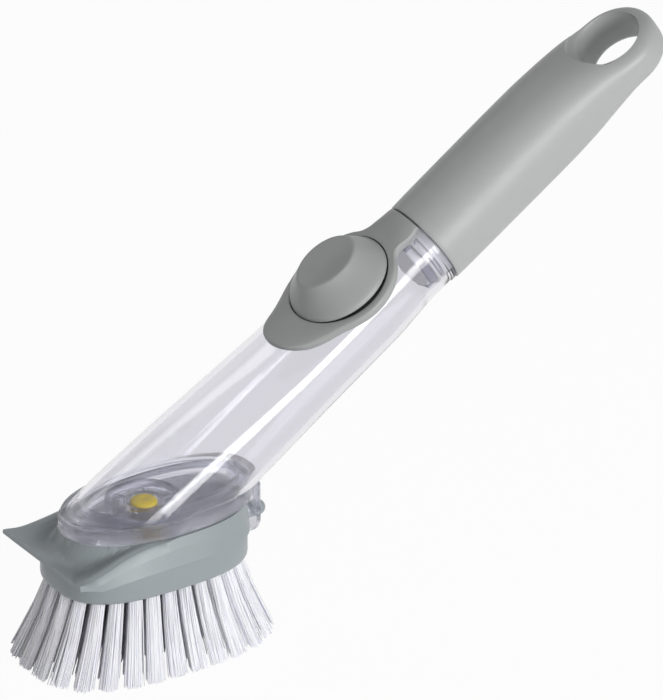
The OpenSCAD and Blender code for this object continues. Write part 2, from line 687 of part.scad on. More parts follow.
module tufts(band, count, rows) {
    cells = 2 * count;
    top = -head_h + slice_t;
    low = -head_h;
    tip = -head_h - bristle_len;
    grid = (rows + 1) * cells;
    turn = function(i) even_turn(i / cells);
    corner = function(r, i) band_point(band, r / rows, turn(i));
    middle = function(r, i) band_point(band, (r + 0.5) / rows, even_turn((i + 0.5) / cells));
    tuft = function(i) band_point(band, 0.5, even_turn((floor(i / 2) * 2 + 1) / cells));
    square = [[-1, -1], [1, -1], [1, 1], [-1, 1]];
    angle = function(i) even_turn((i + 0.5) / cells);
    root = function(r, i) mix(tuft(i), middle(r, i), tuft_grip);
    spread = function(r, i)
        let (p = middle(r, i))
        [p[0] * fan_l + fan_back, p[1] * fan_w];
    points = concat(
        [for (r = [0:rows]) for (i = [0:cells - 1]) concat(corner(r, i), top)],
        [for (r = [0:rows]) for (i = [0:cells - 1]) concat(corner(r, i), low)],
        [for (r = [0:rows - 1]) for (i = [0:cells - 1]) for (s = square)
            let (a = angle(i), p = root(r, i))
            [p[0] + strand_half * (s[0] * cos(a) - s[1] * sin(a)), p[1] + strand_half * (s[0] * sin(a) + s[1] * cos(a)), low]],
        [for (r = [0:rows - 1]) for (i = [0:cells - 1]) for (s = square)
            let (a = angle(i), p = spread(r, i))
            [p[0] + tip_half * (s[0] * cos(a) - s[1] * sin(a)), p[1] + tip_half * (s[0] * sin(a) + s[1] * cos(a)), tip]]
    );
    roots = 2 * grid;
    tips = roots + 4 * rows * cells;
    faces = concat(
        [for (r = [0:rows - 1]) for (i = [0:cells - 1]) let (
                j = (i + 1) % cells,
                a = r * cells + i, b = r * cells + j, c = a + cells, d = b + cells
            ) each [[a, d, b], [a, c, d]]],
        [for (i = [0:cells - 1]) let (j = (i + 1) % cells)
            each [[i, grid + j, grid + i], [i, j, grid + j]]],
        [for (i = [0:cells - 1]) let (j = (i + 1) % cells, o = rows * cells)
            each [[o + i, grid + o + j, o + j], [o + i, grid + o + i, grid + o + j]]],
        [for (r = [0:rows - 1]) for (i = [0:cells - 1]) let (
                j = (i + 1) % cells,
                // Cell corners, in the order in which the strand's own corners lie: outer, then next round, then inner
                a = grid + r * cells + i, b = grid + r * cells + j, c = a + cells, d = b + cells,
                s = roots + 4 * (r * cells + i),
                outline = [c, a, b, d]
            ) each [for (k = [0:3]) let (m = (k + 1) % 4)
                each [[outline[k], s + m, s + k], [outline[k], outline[m], s + m]]]],
        [for (n = [0:rows * cells - 1]) for (k = [0:3]) let (m = (k + 1) % 4, s = roots + 4 * n, t = tips + 4 * n)
            each [[s + k, s + m, t + m], [s + k, t + m, t + k]]],
        [for (n = [0:rows * cells - 1]) let (t = tips + 4 * n) each [[t, t + 1, t + 2], [t, t + 2, t + 3]]]
    );
    color(nylon_white) polyhedron(points, faces);
}

module tufts_outer() {
    tufts(0, 26, 3);
}

module tufts_middle() {
    tufts(1, 20, 3);
}

module tufts_inner() {
    tufts(2, 14, 3);
}

tank_tube();
tank_base();
valve_ring();
outlet_valve();
saddle();
pump_cup();
pump_bellows();
bellows_ring();
pump_spring();
button_cap();
button_plunger();
neck_gasket();
handle_shell();
handle_plug();
plug_seal();
brush_shell();
bristle_block();
inlet_seal();
soap_duct();
tufts_outer();
tufts_middle();
tufts_inner();
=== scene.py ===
# %% [markdown]
# A dish wand holds soap in a clear slanted reservoir, squeezes it out with a thumb pump and scrubs with a fan of
# white bristles. The CAD frame says where every piece goes. This lesson dresses that frame: the moulded pieces are
# built again with smooth skins, and each one gets its own procedural plastic.

# %% Open the frame
import math
import random

import bmesh
import bpy
from mathutils import Matrix, Vector


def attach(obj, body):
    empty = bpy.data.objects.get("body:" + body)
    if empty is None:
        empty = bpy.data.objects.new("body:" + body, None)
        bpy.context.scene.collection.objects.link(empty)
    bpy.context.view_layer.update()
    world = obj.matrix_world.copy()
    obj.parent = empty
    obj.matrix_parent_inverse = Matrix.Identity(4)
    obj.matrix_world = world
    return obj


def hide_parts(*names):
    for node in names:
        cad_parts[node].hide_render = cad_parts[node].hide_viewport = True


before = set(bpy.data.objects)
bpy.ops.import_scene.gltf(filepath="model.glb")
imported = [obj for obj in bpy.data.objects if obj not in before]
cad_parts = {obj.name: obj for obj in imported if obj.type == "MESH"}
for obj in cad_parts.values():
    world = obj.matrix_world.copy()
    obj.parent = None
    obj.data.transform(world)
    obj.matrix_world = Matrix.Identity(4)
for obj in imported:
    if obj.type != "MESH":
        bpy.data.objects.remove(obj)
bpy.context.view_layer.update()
print("CAD nodes:", len(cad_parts))

# %% [markdown]
# The reservoir and the grip share one slanted axis, while the head is level. Two small functions turn millimetres
# along that axis, or in the head, into places in the scene, so every piece can be sized as a maker would size it.

# %% Places on the wand
MM = 0.001
RISE = math.radians(32)
ALONG = Vector((math.cos(RISE), 0, math.sin(RISE)))
OUT = Vector((-math.sin(RISE), 0, math.cos(RISE)))
ACROSS = Vector((0, 1, 0))


def wand(at, y, h):
    """The place at mm up the wand's axis, y mm across it and h mm out through the button."""
    return (ALONG * at + ACROSS * y + OUT * h) * MM


def level(x, y, z):
    """The place x, y, z mm from the soap outlet, square to the head."""
    return Vector((x, y, z)) * MM


def clamp(v, low=0.0, high=1.0):
    return max(low, min(high, v))


def mix(a, b, f):
    return a + (b - a) * f


def ease(v):
    """0 to 1 with a soft start and end."""
    v = clamp(v)
    return v * v * (3 - 2 * v)


def spow(v, p):
    return math.copysign(abs(v) ** p, v)


def through(pairs, at):
    """A smooth value at a place, through measured (place, value) pairs, that never overshoots them."""
    if at <= pairs[0][0]:
        return pairs[0][1]
    if at >= pairs[-1][0]:
        return pairs[-1][1]
    i = max(k for k in range(len(pairs) - 1) if pairs[k][0] <= at)
    step = [(b[1] - a[1]) / (b[0] - a[0]) for a, b in zip(pairs, pairs[1:])]

    def slope(k):
        if k == 0:
            return step[0]
        if k == len(pairs) - 1:
            return step[-1]
        a, b = step[k - 1], step[k]
        return 0 if a * b <= 0 else 2 * a * b / (a + b)

    (x0, y0), (x1, y1) = pairs[i], pairs[i + 1]
    w = x1 - x0
    t = (at - x0) / w
    return (
        y0 * (1 + 2 * t) * (1 - t) ** 2
        + slope(i) * w * t * (1 - t) ** 2
        + y1 * t * t * (3 - 2 * t)
        + slope(i + 1) * w * t * t * (t - 1)
    )


print("the axis rises", round(math.degrees(RISE)), "degrees")

# %% [markdown]
# Most of these pieces are skins pulled through rings, as a lofted mould is. A circle is extruded again and again, and
# each time its new points move to the next section's outline. Every point remembers its angle round the circle, so
# the skin never twists, not even between two flat rings.

# %% Skins and turned pieces


def skin(bm, sides, places, closed=False):
    """Pulls a circle through places, each a function of the angle. Returns the edges of its first and last rings."""
    turn = bm.verts.layers.float.new("turn")
    verts = bmesh.ops.create_circle(bm, segments=sides, radius=1)["verts"]
    for v in verts:
        v[turn] = math.atan2(v.co.y, v.co.x)
        v.co = places[0](v[turn])
    first_verts = list(verts)
    first = edges = list({e for v in verts for e in v.link_edges})
    for place in places[1:] + (places[:1] if closed else []):
        made = bmesh.ops.extrude_edge_only(bm, edges=edges)["geom"]
        verts = {g for g in made if isinstance(g, bmesh.types.BMVert)}
        for v in verts:
            v.co = place(v[turn])
        edges = list({e for v in verts for e in v.link_edges if e.other_vert(v) in verts})
    if closed:
        bmesh.ops.remove_doubles(bm, verts=first_verts + list(verts), dist=1e-7)
    bm.verts.layers.float.remove(turn)
    return first, edges


def lid(bm, edges):
    """One face across a ring, with a middle point so that it shades well."""
    face = bmesh.ops.contextual_create(bm, geom=edges)["faces"]
    bmesh.ops.poke(bm, faces=face)


def turned(bm, profile, place, steps=96):
    """Turns a profile of (radius, height) mm points round an axis; place(x, y, z) puts the mm in the scene."""
    verts = [bm.verts.new((r, 0, z)) for r, z in profile]
    edges = [bm.edges.new(pair) for pair in zip(verts, verts[1:])]
    made = bmesh.ops.spin(
        bm, geom=verts + edges, cent=(0, 0, 0), axis=(0, 0, 1), angle=math.tau, steps=steps, use_merge=True
    )
    reach = set(verts) | {g for g in made["geom_last"] if isinstance(g, bmesh.types.BMVert)}
    grown = set(reach)
    while reach:
        reach = {e.other_vert(v) for v in reach for e in v.link_edges} - grown
        grown |= reach
    bmesh.ops.remove_doubles(bm, verts=list(grown), dist=1e-4)
    for v in grown:
        if v.is_valid:
            v.co = place(*v.co)


def cuboid(bm, low, high, place, round_by=0.4):
    """A block from low to high mm with rounded edges."""
    made = bmesh.ops.create_cube(bm, size=1)["verts"]
    for v in made:
        v.co = [mix(a, b, c + 0.5) for a, b, c in zip(low, high, v.co)]
    edges = list({e for v in made for e in v.link_edges})
    cut = bmesh.ops.bevel(
        bm, geom=made + edges, offset=round_by, segments=3, profile=0.5, affect="EDGES", material=-1
    )
    for v in {v for f in cut["faces"] for v in f.verts} | {v for v in made if v.is_valid}:
        v.co = place(*v.co)


def piece(bm, name, body, nodes=(), sharp=35, turn_out=True):
    """Closes the work on a mesh: faces out, smooth shading, and its place in the frame."""
    if turn_out:
        bmesh.ops.recalc_face_normals(bm, faces=bm.faces)
    mesh = bpy.data.meshes.new(name)
    bm.to_mesh(mesh)
    bm.free()
    mesh.shade_smooth()
    mesh.set_sharp_from_angle(angle=math.radians(sharp))
    obj = bpy.data.objects.new(name, mesh)
    bpy.context.scene.collection.objects.link(obj)
    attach(obj, body)
    if nodes:
        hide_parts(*nodes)
    print(name, "has", len(mesh.polygons), "faces")
    return obj


def cut_out(obj, cutter, sharp=35):
    """Takes the cutter's shape out of a piece, and the cutter out of the scene."""
    cut = obj.modifiers.new("cut", "BOOLEAN")
    cut.object = cutter
    cut.solver = "EXACT"
    obj.data = bpy.data.meshes.new_from_object(obj.evaluated_get(bpy.context.evaluated_depsgraph_get()))
    obj.modifiers.clear()
    bpy.data.objects.remove(cutter)
    obj.data.materials.clear()
    obj.data.set_sharp_from_angle(angle=math.radians(sharp))
    print(obj.name, "has", len(obj.data.polygons), "faces after the cut")


# %% [markdown]
# The camera stands where the photograph's did: 33 degrees round to the scraper's side and 28 degrees up, far away
# with a long lens, because the wand shows almost no perspective.

# %% Camera
VIEW_ROUND = math.radians(-33)
VIEW_UP = math.radians(28)
PIXELS_PER_MM = 2.8
FRAME_W, FRAME_H = 663, 700
OUTLET_PIXEL = (143.7, 512.3)
view_back = Vector(
    (math.sin(VIEW_ROUND) * math.cos(VIEW_UP), -math.cos(VIEW_ROUND) * math.cos(VIEW_UP), math.sin(VIEW_UP))
)
view_right = Vector((math.cos(VIEW_ROUND), math.sin(VIEW_ROUND), 0))
view_up = view_back.cross(view_right)
view_middle = (
    view_right * (FRAME_W / 2 - OUTLET_PIXEL[0]) + view_up * (OUTLET_PIXEL[1] - FRAME_H / 2)
) / PIXELS_PER_MM * MM
CAMERA_AWAY = 6.0
lens = bpy.data.cameras.new("camera")
camera = bpy.data.objects.new("camera", lens)
bpy.context.scene.collection.objects.link(camera)
camera.matrix_world = Matrix.Translation(view_middle + view_back * CAMERA_AWAY) @ Matrix(
    (view_right, view_up, view_back)
).transposed().to_4x4()
lens.sensor_width = 36
lens.lens = 36 * CAMERA_AWAY / (FRAME_H / PIXELS_PER_MM * MM)
lens.clip_end = 50
bpy.context.scene.camera = camera
print("lens", round(lens.lens), "mm")

# %% [markdown]
# Moulded plastic is never one flat colour. Its surface carries a fine spark texture from the mould, flow leaves faint
# clouds, and handling polishes it unevenly. Noise at two scales drives colour, roughness and bump, and the uniform
# values stay on the shader's own sockets.

# %% Opaque plastics


def noise(nodes, links, coords, scale, detail=2):
    made = nodes.new("ShaderNodeTexNoise")
    made.inputs["Scale"].default_value = scale
    made.inputs["Detail"].default_value = detail
    links.new(coords, made.inputs["Vector"])
    return made.outputs["Fac"]


def ramp(nodes, links, value, low, high):
    """Spreads a 0 to 1 value over low to high."""
    made = nodes.new("ShaderNodeMapRange")
    made.inputs["From Min"].default_value = 0.3
    made.inputs["From Max"].default_value = 0.7
    made.inputs["To Min"].default_value = low
    made.inputs["To Max"].default_value = high
    links.new(value, made.inputs["Value"])
    return made.outputs["Result"]


def greater(nodes, links, one, other):
    """The larger of two values; each is a socket or a number."""
    made = nodes.new("ShaderNodeMath")
    made.operation = "MAXIMUM"
    for socket, value in zip(made.inputs, (one, other)):
        if isinstance(value, (int, float)):
            socket.default_value = value
        else:
            links.new(value, socket)
    return made.outputs[0]


def part_of(nodes, links, value, share):
    made = nodes.new("ShaderNodeMath")
    made.operation = "MULTIPLY"
    made.inputs[1].default_value = share
    links.new(value, made.inputs[0])
    return made.outputs[0]


def blend_out(nodes, links, share, first, second):
    """Mixes two shaders by a share and sends the mix to the output."""
    made = nodes.new("ShaderNodeMixShader")
    for socket, source in zip(made.inputs, (share, first.outputs[0], second.outputs[0])):
        links.new(source, socket)
    links.new(made.outputs[0], nodes["Material Output"].inputs["Surface"])


def moulded(name, colour, rough, grain=3500, depth=0.000012, cloud=0.03, **sockets):
    """Moulded plastic with clouds in its colour, a worn polish and a fine grain."""
    material = bpy.data.materials.new(name)
    material.use_nodes = True
    nodes, links = material.node_tree.nodes, material.node_tree.links
    shader = nodes["Principled BSDF"]
    for key, value in sockets.items():
        shader.inputs[key.replace("_", " ")].default_value = value
    coords = nodes.new("ShaderNodeTexCoord").outputs["Object"]
    clouds = noise(nodes, links, coords, 45, 3)
    tint = nodes.new("ShaderNodeMix")
    tint.data_type = "RGBA"
    tint.inputs["A"].default_value = (*[c * (1 - cloud) for c in colour], 1)
    tint.inputs["B"].default_value = (*[min(1, c * (1 + cloud)) for c in colour], 1)
    links.new(clouds, tint.inputs["Factor"])
    links.new(tint.outputs["Result"], shader.inputs["Base Color"])
    wear = noise(nodes, links, coords, 140, 2)
    links.new(ramp(nodes, links, wear, rough - 0.04, rough + 0.04), shader.inputs["Roughness"])
    bump = nodes.new("ShaderNodeBump")
    bump.inputs["Strength"].default_value = 0.35
    bump.inputs["Distance"].default_value = depth
    links.new(noise(nodes, links, coords, grain, 1), bump.inputs["Height"])
    links.new(bump.outputs["Normal"], shader.inputs["Normal"])
    return material


grip_plastic = moulded("grip_plastic", (0.395, 0.403, 0.402), 0.42)
pump_plastic = moulded("pump_plastic", (0.34, 0.348, 0.345), 0.45)
head_plastic = moulded("head_plastic", (0.29, 0.325, 0.34), 0.36)
# Painted shade: the lugs' darker lavender grey stands for the shade seen on them through the clear neck, not for a
# darker plastic.
lugs_painted_shade = moulded("lugs_painted_shade", (0.3, 0.3, 0.36), 0.3)
soft_yellow = moulded("soft_yellow", (0.93, 0.7, 0.02), 0.38, cloud=0.05)
soft_seal = moulded("soft_seal", (0.7, 0.7, 0.7), 0.5, cloud=0.05)
white_plastic = moulded("white_plastic", (0.78, 0.78, 0.8), 0.35)
spring_wire = moulded("spring_wire", (0.6, 0.61, 0.63), 0.25, grain=1800, Metallic=1.0)
print("opaque finishes:", 8)

# %% [markdown]
# The reservoir is clear polystyrene. Light has to bend at both faces of a real wall to give the bright core and the
# dark edge lines, so the wall is modelled with its thickness and the shader transmits. Shadow rays and diffuse bounces
# pass straight through, because a clear wall hardly dims the light that reaches the pieces behind it.

# %% Clear plastic


def clear(name, tint, rough, plain_share=0.0):
    """Clear plastic; plain_share is how much of it every ray crosses unbent, which lights a thick foot."""
    material = bpy.data.materials.new(name)
    material.use_nodes = True
    nodes, links = material.node_tree.nodes, material.node_tree.links
    shader = nodes["Principled BSDF"]
    shader.inputs["Base Color"].default_value = (*tint, 1)
    shader.inputs["IOR"].default_value = 1.46
    shader.inputs["Transmission Weight"].default_value = 1.0
    coords = nodes.new("ShaderNodeTexCoord").outputs["Object"]
    wear = noise(nodes, links, coords, 60, 3)
    links.new(ramp(nodes, links, wear, rough, rough + 0.04), shader.inputs["Roughness"])
    bump = nodes.new("ShaderNodeBump")
    bump.inputs["Strength"].default_value = 0.2
    bump.inputs["Distance"].default_value = 0.00002
    links.new(noise(nodes, links, coords, 90, 2), bump.inputs["Height"])
    links.new(bump.outputs["Normal"], shader.inputs["Normal"])
    rays = nodes.new("ShaderNodeLightPath").outputs
    plain = greater(nodes, links, rays["Is Shadow Ray"], rays["Is Diffuse Ray"])
    see_through = nodes.new("ShaderNodeBsdfTransparent")
    see_through.inputs["Color"].default_value = (0.93, 0.93, 0.95, 1)
    blend_out(nodes, links, greater(nodes, links, plain, plain_share), shader, see_through)
    return material


clear_plastic = clear("clear_plastic", (0.82, 0.815, 0.85), 0.01)
foot_plastic = clear("foot_plastic", (0.72, 0.72, 0.79), 0.03, 0.4)
print("clear finishes:", 2)

# %% [markdown]
# The reservoir's wall is one moulding: an oblique tube with a round neck, a flattened back where the thumb pump sits
# and a foot cut level with the head. Its lines run from the round neck down to wherever they meet the foot, so the
# rings start square to the axis and lean over little by little. The outside, the neck, the bore, the inside and the
# foot plate's rim follow each other as one closed chain of rings. A round cutter then takes out the pump's well.

# %% Reservoir wall
TANK_LEN = 141
NECK_R = 16.3
NECK_AT = TANK_LEN - 3
PUMP_AT = 107.5
WALL = 2.0
PLATE_T = 4.6
PLATE_X = 5.2
PLATE_L, PLATE_W = 38.8, 21.8
FLOOR_Z = 3.2
POOL_X = 7.6
WELL_CUT_R, WELL_CUT_H = 21.15, 11.3
FOOT_TOP_Z = 7.7
tank_w = [(0, 20.9), (50, 20.4), (PUMP_AT, 18.6), (128, 16.7), (NECK_AT, NECK_R)]
tank_h = [(0, 21.6), (25, 20.1), (50, 18.1), (74.5, 16), (PUMP_AT, 15.5), (128, 16), (NECK_AT, NECK_R)]
tank_n = [(0, 2.05), (50, 2.3), (74.5, 2.5), (PUMP_AT, 2.5), (128, 2.1), (NECK_AT, 2)]


def tank_edge(at, f, inset):
    """(across, out) of the reservoir's skin at an angle round its axis, inset from the outside."""
    n = 2 / through(tank_n, at)
    return (
        (through(tank_w, at) - inset) * spow(math.cos(f), n),
        (through(tank_h, at) - inset) * spow(math.sin(f), n),
    )


def tank_foot(f, z, inset):
    """How far along the axis the skin comes down to the level z."""
    at = 0.0
    for _ in range(12):
        at = (z - tank_edge(at, f, inset)[1] * math.cos(RISE)) / math.sin(RISE)
    return at


def tank_ring(top, z, inset, t):
    def place(f):
        at = mix(top, tank_foot(f, z, inset), t)
        return wand(at, *tank_edge(at, f, inset))

    return place


def foot_oval(inset, z, middle=PLATE_X, n=2.1):
    def place(f):
        return level(
            middle - (PLATE_L - inset) * spow(math.sin(f), 2 / n), (PLATE_W - inset) * spow(math.cos(f), 2 / n), z
        )

    return place


def round_at(at, r):
    return lambda f: wand(at, r * math.cos(f), r * math.sin(f))


def round_flat(r, z):
    return lambda f: level(-r * math.sin(f), r * math.cos(f), z)


tank_steps = [0, 0.03, 0.07] + [i / 26 for i in range(3, 26)] + [0.985, 1]
places = (
    [round_flat(9, 0), round_flat(9, 1.6), round_flat(2.5, 1.6), round_flat(2.5, FLOOR_Z)]
    + [foot_oval(inset, z, POOL_X) for inset, z in (
        (9.3, FLOOR_Z), (9, 3.4), (9, 7.3), (8.7, 7.6), (7.8, 7.6), (7.4, 7.2), (7.4, PLATE_T))]
    + [tank_ring(NECK_AT - 12, PLATE_T, WALL, t) for t in reversed(tank_steps)]
    + [round_at(NECK_AT - 10, NECK_R - WALL), round_at(TANK_LEN + 1.7, NECK_R - WALL)]
    + [round_at(TANK_LEN + past, NECK_R + out) for past, out in (
        (2, 0.3 - WALL), (2, -1.2), (1.8, -1), (-0.6, -1), (-0.6, 0.1), (-0.9, 0.4), (-2.2, 0.4), (-2.5, 0.1))]
    + [tank_ring(NECK_AT, PLATE_T + 1.8, 0, t) for t in tank_steps]
    + [foot_oval(1.1, PLATE_T + 1.8), foot_oval(0.9, PLATE_T + 1.6), foot_oval(0.9, PLATE_T)]
    + [foot_oval(0.3, PLATE_T), foot_oval(0, PLATE_T - 0.3), foot_oval(0, 0.3), foot_oval(0.3, 0)]
)
bm = bmesh.new()
skin(bm, 128, places, closed=True)
reservoir = piece(bm, "reservoir_wall", "reservoir", ("tank_tube", "tank_base"), sharp=28)
bm = bmesh.new()
turned(
    bm,
    [(0, WELL_CUT_H), (WELL_CUT_R, WELL_CUT_H), (WELL_CUT_R, 30), (0, 30)],
    lambda x, y, z: wand(PUMP_AT + x, y, z),
)
cut_out(reservoir, piece(bm, "well_cutter", "reservoir"), 28)
reservoir.data.materials.append(clear_plastic)
reservoir.data.materials.append(foot_plastic)
for face in reservoir.data.polygons:
    face.material_index = 1 if face.center.z < FOOT_TOP_Z * MM else 0

# %% [markdown]
# Behind the foot a springy tongue hangs down and latches over the head's round stud. It is a strip bent slightly
# towards the head, cut round at its end and bored for the stud. A small plate of rings, swept from the hole's edge out
# to the tongue's outline, keeps the hole clean and leaves a wall all round it. Two ribs stiffen the tongue's back, and
# two small hooks under the foot's front catch the head.

# %% Latch tongue and hooks
TAB_X, TAB_T, TAB_LEN, TAB_W, TAB_TOP_Z = 42.6, 1.8, 19.4, 16.6, 3.2
STUD_Z, STUD_R = -12, 2.9
HOLE_R = STUD_R + 0.3
RIB_Y, RIB_HALF = 5.6, 0.6
HOOK_Y, HOOK_HALF = 4.7, 1.5


def tab_bend(z):
    low = STUD_Z - 4
    return 0 if z > low else -2.6 * ((low - z) / (TAB_LEN - 16)) ** 2


def tab_edge(f):
    """(across, up) of the tongue's outline seen from the hole's middle."""
    y, z = math.cos(f), math.sin(f)
    reach = TAB_W / 2 / max(abs(y), 1e-6)
    if z > 0:
        reach = min(reach, (TAB_TOP_Z - STUD_Z) / z)
    else:
        low = -TAB_LEN + TAB_W / 2 - STUD_Z
        b = z * low
        reach = min(reach, b + math.sqrt(b * b - low * low + (TAB_W / 2) ** 2))
    return y * reach, z * reach


def tab_ring(depth, grow):
    def place(f):
        y, z = tab_edge(f)
        y, z = mix(HOLE_R * math.cos(f), y, grow), mix(HOLE_R * math.sin(f), z, grow) + STUD_Z
        return level(TAB_X + depth + tab_bend(z), y, z)

    return place


bm = bmesh.new()
tab_places = [tab_ring(0, g) for g in (0.02, 0.35, 0.7, 0.97)] + [tab_ring(0.3, 1), tab_ring(TAB_T - 0.3, 1)]
tab_places += [tab_ring(TAB_T, g) for g in (0.97, 0.7, 0.35, 0.02)] + [tab_ring(TAB_T - 0.3, 0), tab_ring(0.3, 0)]
skin(bm, 112, tab_places, closed=True)
for side in (-1, 1):
    y = side * HOOK_Y
    cuboid(bm, (-26.5, y - HOOK_HALF, -3.2), (-24.6, y + HOOK_HALF, 0.2), level, 0.25)
    cuboid(bm, (-28.3, y - HOOK_HALF, -3.2), (-25, y + HOOK_HALF, -2), level, 0.25)
    y = side * RIB_Y
    back = TAB_X + TAB_T
    cuboid(bm, (back - 0.2, y - RIB_HALF, -9), (back + 0.9, y + RIB_HALF, 2.8), level, 0.3)
latch = piece(bm, "latch_tongue", "reservoir")
latch.data.materials.append(foot_plastic)

# %% [markdown]
# A spoked ring is welded to the reservoir's floor and keeps the soap valve in its middle. It is turned as two hoops,
# and six rounded spokes join them.

# %% Valve ring
SPOKES = 6


def on_floor(x, y, z):
    return level(x, y, z + FLOOR_Z)


bm = bmesh.new()
turned(bm, [(12.4, 0.05), (12.4, 2.8), (12.8, 3.2), (13.6, 3.2), (14, 2.8), (14, 0.05), (12.4, 0.05)], on_floor)
turned(bm, [(6, 0.05), (6, 1.4), (6.3, 1.7), (7.1, 1.7), (7.4, 1.4), (7.4, 0.05), (6, 0.05)], on_floor)
for i in range(SPOKES):
    turn = Matrix.Rotation(i * math.tau / SPOKES, 3, "Z")
    cuboid(bm, (7.5, -0.6, 0.05), (12.3, 0.6, 1.3), lambda x, y, z: turn @ on_floor(x, y, z), 0.25)
valve_ring = piece(bm, "valve_hoops", "reservoir", ("valve_ring",))
valve_ring.data.materials.append(foot_plastic)

# %% [markdown]
# The soap valve is a soft yellow mushroom. Its bulb sits on the floor, its stem goes through, and a thin flap under
# the floor opens when the pump pushes soap. One turned profile has all three.

# %% Soap valve
bm = bmesh.new()
turned(
    bm,
    [(0, 0.5), (1.2, 0.5), (6, 0.8), (6.2, 1), (6, 1.25), (2.6, 1.4), (2.2, 1.6), (2.2, 3.9), (4.6, 3.9), (4.9, 4.15),
     (4.9, 4.7), (4.6, 5.15), (3.9, 5.5), (2.6, 5.75), (1.2, 5.82), (0.9, 5.6), (0, 5.5)],
    level,
    72,
)
valve = piece(bm, "soap_valve", "valve", ("outlet_valve",), sharp=50)
valve.data.materials.append(soft_yellow)

# %% [markdown]
# The saddle is a grey moulding on the reservoir's back. Seen from above it has a round nose, a disc round the button
# and a narrow neck that reaches the grip. All of that outline can be seen from the button's middle, so rings that
# grow from the button's well to the outline give the top, then turn over the edge and back under it to the well.

# %% Saddle
FACE_H = 16.2
WELL_R = 19.7
BOSS_R = 22.3
NOSE_R, NOSE_AT = 14.5, PUMP_AT - 34
SADDLE_END = TANK_LEN - 0.6
SADDLE_SIDES = 256


def tank_back(at, y):
    """How far out the reservoir's back is, y mm to the side."""
    n = through(tank_n, at)
    return through(tank_h, at) * max(0, 1 - (abs(y) / through(tank_w, at)) ** n) ** (1 / n)


def saddle_half(at):
    """Half the saddle's width at a place along the wand."""
    boss = math.sqrt(max(0, BOSS_R**2 - (at - PUMP_AT) ** 2))
    nose = math.sqrt(max(0, NOSE_R**2 - max(0, NOSE_AT + NOSE_R - at) ** 2)) if at < PUMP_AT else 0
    past_nose = at - NOSE_AT - NOSE_R
    slant = (BOSS_R - NOSE_R) / (PUMP_AT - NOSE_AT - NOSE_R)
    if -NOSE_R * slant < past_nose and at < PUMP_AT - BOSS_R * slant:
        nose = (NOSE_R + past_nose * slant) / math.sqrt(1 - slant**2)
    neck = 8.9 + 1.2 * clamp(1 - (SADDLE_END - at) / 8) ** 2 + 3.2 * clamp((PUMP_AT + 25.5 - at) / 8) ** 2
    return max(boss, nose, neck if at > PUMP_AT else 0)


def saddle_reach(f):
    """Distance from the button's middle to the saddle's outline in the direction f."""
    low, high = WELL_R, 36.0
    for _ in range(40):
        r = (low + high) / 2
        at, y = PUMP_AT + r * math.cos(f), abs(r * math.sin(f))
        inside = NOSE_AT <= at <= SADDLE_END and y <= saddle_half(at)
        low, high = (r, high) if inside else (low, r)
    return low


def saddle_top(at, y):
    away = math.hypot(at - PUMP_AT, y)
    flat = FACE_H - 0.0045 * y * y
    return mix(flat, tank_back(at, y) + 1.3, ease((away - 21) / 10))


reaches = [saddle_reach(i * math.tau / SADDLE_SIDES) for i in range(SADDLE_SIDES)]


def saddle_ring(grow, drop, shrink=0.0):
    """A ring between the well (grow 0) and the outline (grow 1), drop mm under the top."""

    def place(f):
        i = round(f / math.tau * SADDLE_SIDES) % SADDLE_SIDES
        near = [reaches[(i + k) % SADDLE_SIDES] for k in (-2, -1, 0, 1, 2)]
        r = mix(WELL_R, sum(near) / 5, grow) - shrink
        at, y = PUMP_AT + r * math.cos(f), r * math.sin(f)
        return wand(at, y, saddle_top(at, y) - drop)

    return place


def well_ring(r, h):
    return lambda f: wand(PUMP_AT + r * math.cos(f), r * math.sin(f), h)


bm = bmesh.new()
well_in = [well_ring(6.3, 12.4), well_ring(19.4, 12.4), well_ring(WELL_R, 12.7)]
tops = [saddle_ring(g, 0) for g in (0.12, 0.3, 0.5, 0.7, 0.86)]
over = [saddle_ring(1, 0, 0.9), saddle_ring(1, 0.12, 0.4), saddle_ring(1, 0.45, 0.1), saddle_ring(1, 0.9)]
side = [saddle_ring(1, 1.8), saddle_ring(1, 2.6, 0.1), saddle_ring(1, 3.1, 0.5), saddle_ring(1, 3.3, 1.6)]
lip = [saddle_ring(0, 0.35), saddle_ring(0, 0.08, -0.12), saddle_ring(0, 0, -0.35)]
well_out = [well_ring(21, 12.8), well_ring(21, 11.4), well_ring(6.3, 11.4)]
skin(bm, SADDLE_SIDES, well_in + lip + tops + over + side + well_out, closed=True)
saddle = piece(bm, "pump_saddle", "reservoir", ("saddle",), sharp=40)
saddle.data.materials.append(pump_plastic)

# %% [markdown]
# The thumb button is a cone with a soft shoulder and a slightly dished top that is narrower across than along. A
# turned profile gives the cone, and a squeeze across the wand that grows with height gives the oval top.

# %% Thumb button
BUTTON_R, BUTTON_H = 19.3, 10


def on_button(x, y, z):
    narrow = 1 - 0.2 * ease((z - FACE_H - 0.5) / (BUTTON_H - 1))
    return wand(PUMP_AT + x, y * narrow, z)


bm = bmesh.new()
top = FACE_H + BUTTON_H
turned(
    bm,
    [(0, top - 1.1), (3, top - 1.05), (6, top - 0.85), (9, top - 0.45), (11, top - 0.1), (11.9, top - 0.02),
     (12.4, top - 0.2), (12.8, top - 0.6), (13.3, top - 1.3), (15.6, top - 4.6), (17.8, FACE_H + 2.3),
     (18.6, FACE_H + 1.1), (19.1, FACE_H + 0.3), (BUTTON_R, FACE_H - 0.5), (BUTTON_R, FACE_H - 0.7),
     (17.9, FACE_H - 0.7), (17.6, FACE_H + 0.8), (14.5, top - 4), (11.8, top - 2), (0, top - 2.1)],
    on_button,
    128,
)
button = piece(bm, "thumb_button", "button", ("button_cap",), sharp=45)
button.data.materials.append(pump_plastic)

# %% [markdown]
# The grip starts round at the reservoir's neck, flattens and rises a little, and ends in a half-round blade with a
# hole to hang it by. The skin runs through rings of rounded sections to the tip. A spool-shaped cutter with flared
# ends then takes out the hole, which leaves its lips rounded as the mould does.

